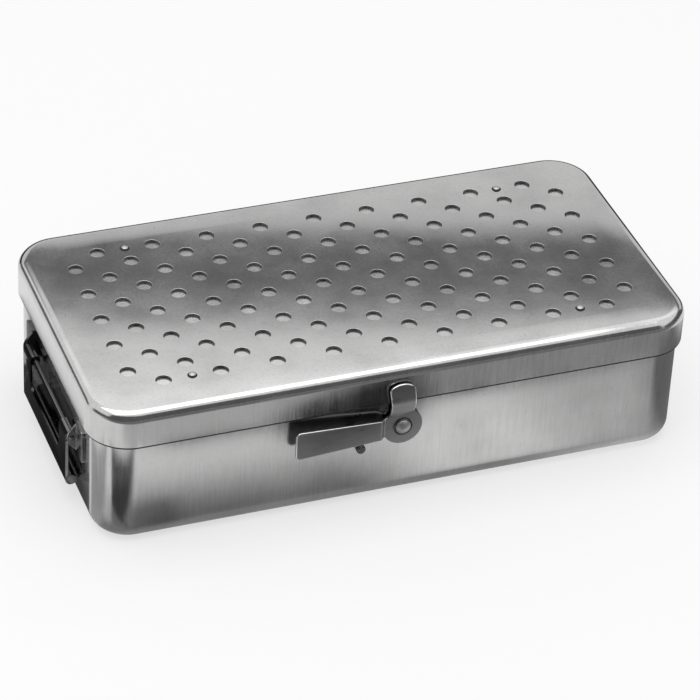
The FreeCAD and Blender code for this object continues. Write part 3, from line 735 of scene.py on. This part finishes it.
inner_face = base_low.y + PAN_SHEET + INNER_WASHER[1]
head_face = -lever_back + LATCH_SHEET + RIVET_GAP
crown = -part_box("latch_rivet")[0].y
rings = tail(-inner_face, *RIVET_TAIL)
rings += [(-inner_face, RIVET_SHANK_RADIUS), (head_face, RIVET_SHANK_RADIUS),
          (head_face, RIVET_HEAD_RADIUS), (head_face + RIVET_RIM_HEIGHT / 2, RIVET_HEAD_RADIUS),
          (head_face + RIVET_RIM_HEIGHT, RIVET_HEAD_RADIUS - RIVET_RIM_EASE),
          (head_face + RIVET_RIM_HEIGHT, RIVET_GROOVE_RADIUS + RIVET_GROOVE_SLOPE),
          (head_face + RIVET_GROOVE_HEIGHT, RIVET_GROOVE_RADIUS)]
rings += dome(head_face + RIVET_RIM_HEIGHT, RIVET_GROOVE_RADIUS - RIVET_DOME_INSET,
              crown - head_face - RIVET_RIM_HEIGHT)
latch_rivet = turned("lever_rivet", rings, (0, 0, hub_z), (0, -1, 0))
smoothed(latch_rivet)
dark_shade_steel = steel("dark_shade_steel", DARK_SHADE_STEEL, rough=0.3, grain_depth=2e-6)
latch_rivet.data.materials.append(rivet_steel)
latch_rivet.data.materials.append(dark_shade_steel)
# The rim and groove round the dome are painted dark, as painted shade.
for face in latch_rivet.data.polygons:
    reach = Vector((face.center.x, face.center.z - hub_z)).length
    if reach > RIVET_GROOVE_RADIUS - RIVET_DOME_INSET:
        face.material_index = 1
dressed(latch_rivet, rivet_steel, "base", "hardware_steel", "latch_rivet")

wall_face = -base_low.y
crowned = -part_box("latch_spring_washer")[0].y
wide, thick = SPRING_WASHER
rings = [(wall_face, wide), (wall_face + thick, wide), (crowned, LATCH_BORE_RADIUS),
         (crowned - thick, LATCH_BORE_RADIUS)]
spring_washer = turned("spring_washer", rings, (0, 0, hub_z), (0, -1, 0), True)
eased(spring_washer, WASHER_EASE)
dressed(spring_washer, rivet_steel, "base", "hardware_steel", "latch_spring_washer")
wide, thick = INNER_WASHER
rings = [(0, RIVET_SHANK_RADIUS), (0, wide), (thick, wide), (thick, RIVET_SHANK_RADIUS)]
inner_washer = turned("inner_washer", rings, (0, base_low.y + PAN_SHEET, hub_z), (0, 1, 0), True)
eased(inner_washer, WASHER_EASE)
dressed(inner_washer, rivet_steel, "base", "hardware_steel", "latch_inner_washer")

# Stop stud. A round stud riveted through the wall, on which the lever's arm rests when it is
# latched. Its outer end is well rounded.
STOP_RADIUS = 1.5 * MM
STOP_ROUNDING = 0.4 * MM
STOP_TAIL = (2.2 * MM, 0.7 * MM)

stud_low, stud_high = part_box("latch_stop_pin")
stud_x, stud_z = (stud_low.x + stud_high.x) / 2, (stud_low.z + stud_high.z) / 2
seat = -(base_low.y + PAN_SHEET)
rings = tail(seat, *STOP_TAIL) + [(seat, STOP_RADIUS), (-stud_low.y - STOP_ROUNDING, STOP_RADIUS)]
for turn in ROUNDING_TURNS:
    angle = math.radians(turn)
    rings.append((-stud_low.y - STOP_ROUNDING * (1 - math.sin(angle)),
                  STOP_RADIUS - STOP_ROUNDING * (1 - math.cos(angle))))
stop_stud = turned("stop_stud", rings, (stud_x, 0, stud_z), (0, -1, 0), sides=32)
smoothed(stop_stud)
# The stud gets the dark steel, as painted shade under the arm.
dressed(stop_stud, dark_shade_steel, "base", "hardware_steel", "latch_stop_pin")

# Drop handles. Each is one sheet: two legs rolled round a wire, joined below by a rail with a
# rolled edge that rests on the end wall. The wire is riveted over outside two angle brackets,
# which are spot-welded to the wall. The sheet and the wire are painted dark, as painted shade,
# and the front leg's front edge is painted light, as a painted highlight.
GRIP_SHEET = 0.9 * MM
GRIP_LEG = 8 * MM
GRIP_RAIL = 8.5 * MM
GRIP_WINDOW_CORNER = 3 * MM
GRIP_EASE = 0.18 * MM
GRIP_SET_IN = 0.01 * MM
GRIP_SPARE = 1 * MM
GRIP_WINDOW_REACH = 4 * MM
WIRE_RADIUS = 0.9 * MM
WIRE_BORE_RADIUS = 0.95 * MM
ROLL_RADIUS = 1.85 * MM
ROLL_EDGE = 0.95 * ROLL_RADIUS
WIRE_HEAD = (1.1 * MM, 0.5 * MM)
BRACKET_SHEET = 0.8 * MM
BRACKET_TIP = 3.2 * MM
BRACKET_TIP_ROUNDING = 0.42 * BRACKET_TIP
BRACKET_CORNER = 1.5 * MM
HANDLE_STEEL = (0.2, 0.2, 0.2)
BRACKET_STEEL = (0.45, 0.45, 0.445)

# The handles' sheet and wires get this dark steel, as painted shade.
handle_steel = steel("handle_steel", HANDLE_STEEL, rough=0.14, grain_depth=2e-6, grain=(1, 0.06, 1))
bracket_steel = steel("bracket_steel", BRACKET_STEEL, rough=0.22, grain_depth=2e-6,
                      grain=(1, 1, 0.06))
for name, side in (("left", -1), ("right", 1)):
    grip_low, grip_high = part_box("handle_" + name + "_grip")
    half = grip_high.y
    outer = grip_low.x if side < 0 else grip_high.x
    inner, face_x = outer - side * GRIP_SHEET, outer - side * GRIP_SET_IN
    axis_x = outer - side * ROLL_RADIUS
    axis_z = grip_high.z - ROLL_RADIUS
    bead_z = grip_low.z + ROLL_RADIUS
    # The sheet and its two rolls are joined over length, then trimmed to one flush end.
    grip = block("handle_" + name, (min(face_x, inner), -half - GRIP_SPARE, bead_z),
                 (max(face_x, inner), half + GRIP_SPARE, axis_z))
    bpy.ops.object.mode_set(mode="OBJECT")
    for level, spare in ((bead_z, 2 * GRIP_SPARE), (axis_z, 3 * GRIP_SPARE)):
        rings = [(-half - spare, ROLL_RADIUS), (half + spare, ROLL_RADIUS)]
        cut_with(grip, turned("roll", rings, (axis_x, 0, level), (0, 1, 0)), "UNION")
    bpy.ops.object.mode_set(mode="EDIT")
    for way in (-1, 1):
        scored((0, way * half, 0), (0, way, 0), use_fill=True, clear_outer=True)
    bpy.ops.object.mode_set(mode="OBJECT")
    window = block("window", (axis_x - GRIP_WINDOW_REACH, GRIP_LEG - half, grip_low.z + GRIP_RAIL),
                   (axis_x + GRIP_WINDOW_REACH, half - GRIP_LEG, grip_high.z + GRIP_SPARE))
    rounded(lambda middle, way: abs(way.x) > ALONG and middle.z < axis_z, GRIP_WINDOW_CORNER,
            segments=6)
    bpy.ops.object.mode_set(mode="OBJECT")
    cut_with(grip, window)
    bored(grip, WIRE_BORE_RADIUS, 2 * half, (axis_x, 0, axis_z), (0, 1, 0))
    eased(grip, GRIP_EASE)
    grip.data.materials.append(handle_steel)
    grip.data.materials.append(hinge_steel)
    leg_low, leg_high = bead_z + ROLL_EDGE, axis_z - ROLL_EDGE
    bpy.ops.object.mode_set(mode="EDIT")
    for level in (leg_low, leg_high):
        scored((0, 0, level), (0, 0, 1))
    bpy.ops.object.mode_set(mode="OBJECT")
    # The front edge of the front leg, between the rolls, gets the paler hinge steel, as a painted
    # highlight.
    for face in grip.data.polygons:
        on_side = face.normal.y < -ALONG and face.center.y < GRIP_EASE - half
        if on_side and leg_low < face.center.z < leg_high:
            face.material_index = 1
    dressed(grip, handle_steel, "handle_" + name, "handle_steel", "handle_" + name + "_grip")

    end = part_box("handle_" + name + "_pin")[1].y - WIRE_HEAD[1]
    rings = tail(-end, *WIRE_HEAD) + [(-end, WIRE_RADIUS), (end, WIRE_RADIUS)] + dome(end, *WIRE_HEAD)
    wire = turned("handle_" + name + "_wire", rings, (axis_x, 0, axis_z), (0, 1, 0), sides=24)
    smoothed(wire)
    dressed(wire, handle_steel, "base", "hardware_steel", "handle_" + name + "_pin")

    for place, way in (("front", -1), ("rear", 1)):
        node = "handle_" + name + "_" + place + "_bracket"
        low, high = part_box(node)
        wall_x, tip_x = (high.x, low.x) if side < 0 else (low.x, high.x)
        near, far_y = (high.y, low.y) if way < 0 else (low.y, high.y)
        corners = (near, near + way * BRACKET_SHEET)
        ear = block("handle_" + name + "_" + place + "_angle", (min(wall_x, tip_x), min(corners), low.z),
                    (max(wall_x, tip_x), max(corners), high.z))
        pick("FACE", lambda middle, normal: normal.x * side > ALONG)
        bpy.ops.transform.resize(value=(1, 1, BRACKET_TIP / (high.z - low.z)),
                                 center_override=(tip_x, near, axis_z))
        rounded(lambda middle, toward: abs(toward.y) > ALONG and abs(middle.x - tip_x) < NEAR,
                BRACKET_TIP_ROUNDING, segments=6)
        bpy.ops.object.mode_set(mode="OBJECT")
        flange_x = wall_x + side * BRACKET_SHEET
        flange = block("flange", (min(wall_x, flange_x), min(near, far_y), low.z),
                       (max(wall_x, flange_x), max(near, far_y), high.z))
        rounded(lambda middle, toward: abs(toward.x) > ALONG and abs(middle.y - far_y) < NEAR,
                BRACKET_CORNER, segments=4)
        bpy.ops.object.mode_set(mode="OBJECT")
        cut_with(ear, flange, "UNION")
        eased(ear, HINGE_EASE)
        dressed(ear, bracket_steel, "base", "hardware_steel", node)

# Floor. A wide pale sheet that the container stands on. It isn't part of the container, and it
# glows to the camera and to the steel, so that both see it evenly white.
FLOOR_RADIUS = 6
FLOOR_SIDES = 96
FLOOR_WHITE = 0.97
FLOOR_ROUGHNESS = 0.9
FLOOR_GLOW = 0.6


def looked_at(tree):
    """One for light that the camera or the steel sees, nothing for light that only falls."""
    path = tree.nodes.new("ShaderNodeLightPath")
    looks = combined(tree, "ADD", path.outputs["Is Camera Ray"], path.outputs["Is Glossy Ray"])
    return combined(tree, "ADD", looks, path.outputs["Is Transmission Ray"])


def glowing(tree, share, surface, tone=1.0):
    """Gives a material a surface with a glow of one tone laid over it by a share."""
    glow = tree.nodes.new("ShaderNodeEmission")
    glow.inputs["Color"].default_value = (tone, tone, tone, 1)
    mixed = tree.nodes.new("ShaderNodeMixShader")
    tree.links.new(share, mixed.inputs["Fac"])
    tree.links.new(surface, mixed.inputs[1])
    tree.links.new(glow.outputs["Emission"], mixed.inputs[2])
    tree.links.new(mixed.outputs["Shader"], tree.nodes["Material Output"].inputs["Surface"])


bpy.ops.object.select_all(action="DESELECT")
bpy.ops.mesh.primitive_circle_add(vertices=FLOOR_SIDES, radius=FLOOR_RADIUS, fill_type="NGON")
floor = bpy.context.active_object
floor.name = "floor"
floor_white = bpy.data.materials.new("floor_white")
floor_white.use_nodes = True
tree = floor_white.node_tree
paper = tree.nodes["Principled BSDF"]
paper.inputs["Base Color"].default_value = (FLOOR_WHITE, FLOOR_WHITE, FLOOR_WHITE, 1)
paper.inputs["Roughness"].default_value = FLOOR_ROUGHNESS
glowing(tree, combined(tree, "MULTIPLY", looked_at(tree), FLOOR_GLOW), paper.outputs["BSDF"])
floor.data.materials.append(floor_white)

# Studio. A white room lights everything evenly; polished steel and the camera see its walls
# as white.
ROOM_LIGHT = 0.68
ROOM_WHITE = 0.97

world = bpy.data.worlds.new("room")
bpy.context.scene.world = world
world.use_nodes = True
tree = world.node_tree
walls = tree.nodes["Background"]
walls.inputs["Color"].default_value = (1, 1, 1, 1)
tree.links.new(between(tree, looked_at(tree), ROOM_LIGHT, ROOM_WHITE), walls.inputs["Strength"])

# Softbox. One large lamp over the container, weak beside the white room. It draws the bright
# line on every rounded edge.
SOFTBOX_PLACE = (-0.1, -0.02, 1.0)
SOFTBOX_SIZE = (1.1, 0.8)
SOFTBOX_POWER = 4.0

softbox = bpy.data.objects.new("softbox", bpy.data.lights.new("softbox", "AREA"))
bpy.context.scene.collection.objects.link(softbox)
softbox.data.shape = "RECTANGLE"
softbox.data.size, softbox.data.size_y = SOFTBOX_SIZE
softbox.data.energy = SOFTBOX_POWER
softbox.location = SOFTBOX_PLACE

# Cards. Sheets round the container, out of the camera's sight, that only the steel mirrors:
# a banded card behind it, a dark one in front and soft dark ones on the floor.
VIEW_AZIMUTH = math.radians(21.395)
UPRIGHT = math.radians(90)
CARD_SHEET = 0.04 * MM
CARD_EDGE = 0.5
BEHIND = 0.17
HORIZON_BEHIND = 1.012 * BEHIND
laid = []


def card(name, middle, size, lean=0.0, turn=0.0, roll=0.0, far=1.0, aside=0.0):
    """A sheet that only mirrored light meets. It lies flat until it leans up. Its far edge can
    be longer or shorter than the near one, and moved aside by a share of it. Gives its material
    and the share of its width and height at each place."""
    bpy.ops.object.select_all(action="DESELECT")
    bpy.ops.mesh.primitive_plane_add(size=2 * CARD_EDGE)
    sheet = bpy.context.active_object
    sheet.name = name
    bpy.ops.object.mode_set(mode="EDIT")
    pick("EDGE", lambda middle, way: middle.y > CARD_EDGE - NEAR)
    bpy.ops.transform.resize(value=(far, 1, 1), center_override=(0, CARD_EDGE, 0))
    bpy.ops.transform.translate(value=(aside, 0, 0))
    bpy.ops.object.mode_set(mode="OBJECT")
    sheet.location = middle
    sheet.scale = (*size, 1)
    sheet.rotation_mode = "QUATERNION"
    leant = Quaternion((1, 0, 0), lean) @ Quaternion((0, 0, 1), roll)
    sheet.rotation_quaternion = Quaternion((0, 0, 1), turn) @ leant
    sheet.visible_camera = False
    sheet.visible_diffuse = False
    sheet.visible_shadow = False
    sheet.visible_transmission = False
    material = bpy.data.materials.new(name)
    material.use_nodes = True
    tree = material.node_tree
    tree.nodes.remove(tree.nodes["Principled BSDF"])
    sheet.data.materials.append(material)
    place = tree.nodes.new("ShaderNodeTexCoord")
    shares = tree.nodes.new("ShaderNodeSeparateXYZ")
    tree.links.new(place.outputs["UV"], shares.inputs["Vector"])
    return tree, shares.outputs


def banded_card(name, middle, size, bands, lean, turn, roll):
    """A card whose tone changes with height; bands are (height share, tone)."""
    tree, shares = card(name, middle, size, lean, turn, roll)
    ramp = tree.nodes.new("ShaderNodeValToRGB")
    stops = ramp.color_ramp.elements
    while len(stops) < len(bands):
        stops.new(0.5)
    for stop, (height, tone) in zip(stops, bands):
        stop.position = height
        stop.color = (tone, tone, tone, 1)
    tree.links.new(shares["Y"], ramp.inputs["Fac"])
    glow = tree.nodes.new("ShaderNodeEmission")
    tree.links.new(ramp.outputs["Color"], glow.inputs["Color"])
    tree.links.new(glow.outputs["Emission"], tree.nodes["Material Output"].inputs["Surface"])


def soft_card(name, middle, size, tone, soft, turn=0.0, lean=0.0, strength=1.0, far=1.0, aside=0.0):
    """A card of one tone that fades out over a share of its size at every edge. One that lies on
    the floor is placed by x and y, a little higher than the one laid before it."""
    if len(middle) == 2:
        laid.append(name)
        middle = (*middle, CARD_SHEET * len(laid))
    tree, shares = card(name, middle, size, lean, turn, 0.0, far, aside)
    cover = strength
    for axis, fade in zip("XY", soft):
        from_edge = combined(tree, "PINGPONG", shares[axis], CARD_EDGE)
        faded = between(tree, from_edge, 0, 1, 0, fade)
        faded.node.interpolation_type = "SMOOTHSTEP"
        cover = combined(tree, "MULTIPLY", faded, cover)
    clear = tree.nodes.new("ShaderNodeBsdfTransparent")
    glowing(tree, cover, clear.outputs["BSDF"], tone)


def behind(distance, height):
    """A place behind the container, as the camera looks at it."""
    return distance * math.sin(VIEW_AZIMUTH), distance * math.cos(VIEW_AZIMUTH), height


# Behind the container, in front of it and farther out.
banded_card("card_behind", behind(BEHIND, 0.3214), (0.6, 0.5),
            [(0.0, 0.82), (0.1406, 0.77), (0.1531, 0.18), (0.191, 0.2), (0.216, 0.32), (0.2275, 0.45),
             (0.2429, 0.95), (0.2808, 0.97), (0.3168, 1.25)],
            UPRIGHT, -VIEW_AZIMUTH, math.radians(-4))
soft_card("card_horizon", behind(HORIZON_BEHIND, 0.0425), (0.6, 0.085), 0.05, (0.02, 0.02),
          -VIEW_AZIMUTH, UPRIGHT)
soft_card("card_front", (-0.08, -1.414, 0.78), (3.6, 2.2), 0.13, (0.07, 0.1), -VIEW_AZIMUTH, UPRIGHT)
soft_card("card_far", (0.0, -0.66), (2.4, 1.1), 0.21, (0.05, 0.02))
soft_card("card_back_left", (-0.36, 0.33, 0.09), (0.34, 0.16), 0.15, (0.1, 0.25), math.radians(40),
          UPRIGHT)
# At the left end, and at the corner between it and the front.
soft_card("card_end", (-0.1036, 0.01325, 0.0149), (0.0755, 0.0298), 0.05, (0.02, 0.02), UPRIGHT, UPRIGHT)
soft_card("card_left", (-0.10095, 0.00725), (0.0895, 0.0052), 0.05, (0.02, 0.02), UPRIGHT,
          far=0.855, aside=0.073)
soft_card("card_front_left", (-0.045, -0.05), (0.14, 0.09), 0.15, (0.3, 0.5))
soft_card("card_corner", (-0.1027, -0.0708), (0.0163, 0.0395), 0.06, (0.2, 0.08),
          math.radians(153), far=4.7)
# In front of the skirt, and of the latch and its arm.
soft_card("card_skirt", (0.105, -0.1125), (0.21, 0.038), 0.34, (0.12, 0.15))
soft_card("card_skirt_left", (-0.055, -0.113), (0.16, 0.04), 0.5, (0.15, 0.3), strength=0.7)
soft_card("card_under", (0.0165, -0.0965), (0.184, 0.0095), 0.08, (0.1, 0.3), strength=0.93)
soft_card("card_latch", (0.007, -0.104), (0.062, 0.024), 0.0, (0.2, 0.22), math.radians(-17))
soft_card("card_arm", (-0.001, -0.0945), (0.062, 0.024), 0.0, (0.25, 0.22))
# At the foot of the front wall and of its left corner.
soft_card("card_foot", (-0.02, -0.0485), (0.25, 0.018), 0.3, (0.3, 0.15))
soft_card("card_foot_corner", (-0.0975, -0.0485), (0.036, 0.012), 0.2, (0.35, 0.3), math.radians(-50),
          strength=0.7)
soft_card("card_foot_left", (-0.08, -0.061), (0.034, 0.024), 0.07, (0.35, 0.35), strength=0.6)
soft_card("card_corner_left", (-0.1195, -0.0355), (0.008, 0.043), 0.42, (0.12, 0.05),
          math.radians(72.4), far=8.5)
# Out to the sides, at the right end, and beyond the container for its outline.
soft_card("card_side_left", (-0.75, -0.23, 0.2), (0.95, 0.36), 0.12, (0.15, 0.2), UPRIGHT, UPRIGHT)
soft_card("card_right_wall", (0.095, -0.076), (0.11, 0.056), 0.3, (0.35, 0.15), strength=0.5)
soft_card("card_right", (0.1217, -0.0295), (0.1, 0.16), 0.18, (0.3, 0.12), math.radians(22.3))
soft_card("card_side_right", (0.9, -0.375, 0.2), (1.65, 0.7), 0.12, (0.15, 0.2), UPRIGHT, UPRIGHT)
soft_card("card_outline", (0.46, 0.66), (1.08, 1.2), 0.06, (0.02, 0.02))

# Camera. A long lens looks down on the front and the left end from a good metre away, rolled a
# little as in the photo.
CAMERA_AIM = Vector((-0.00107, -0.00548, 0.0259))
CAMERA_ELEVATION = math.radians(35.44)
CAMERA_DISTANCE = 1.12642
CAMERA_ROLL = math.radians(3.022)
CAMERA_LENS = 178.25
CAMERA_CLIP = 0.01

away = Vector((-math.sin(VIEW_AZIMUTH) * math.cos(CAMERA_ELEVATION),
               -math.cos(VIEW_AZIMUTH) * math.cos(CAMERA_ELEVATION), math.sin(CAMERA_ELEVATION)))
camera = bpy.data.objects.new("camera", bpy.data.cameras.new("camera"))
bpy.context.scene.collection.objects.link(camera)
camera.data.lens = CAMERA_LENS
camera.data.clip_start = CAMERA_CLIP
camera.location = CAMERA_AIM + CAMERA_DISTANCE * away
camera.rotation_mode = "QUATERNION"
camera.rotation_quaternion = (-away).to_track_quat("-Z", "Y") @ Quaternion((0, 0, 1), CAMERA_ROLL)
bpy.context.scene.camera = camera
bpy.context.scene.view_settings.view_transform = "Standard"
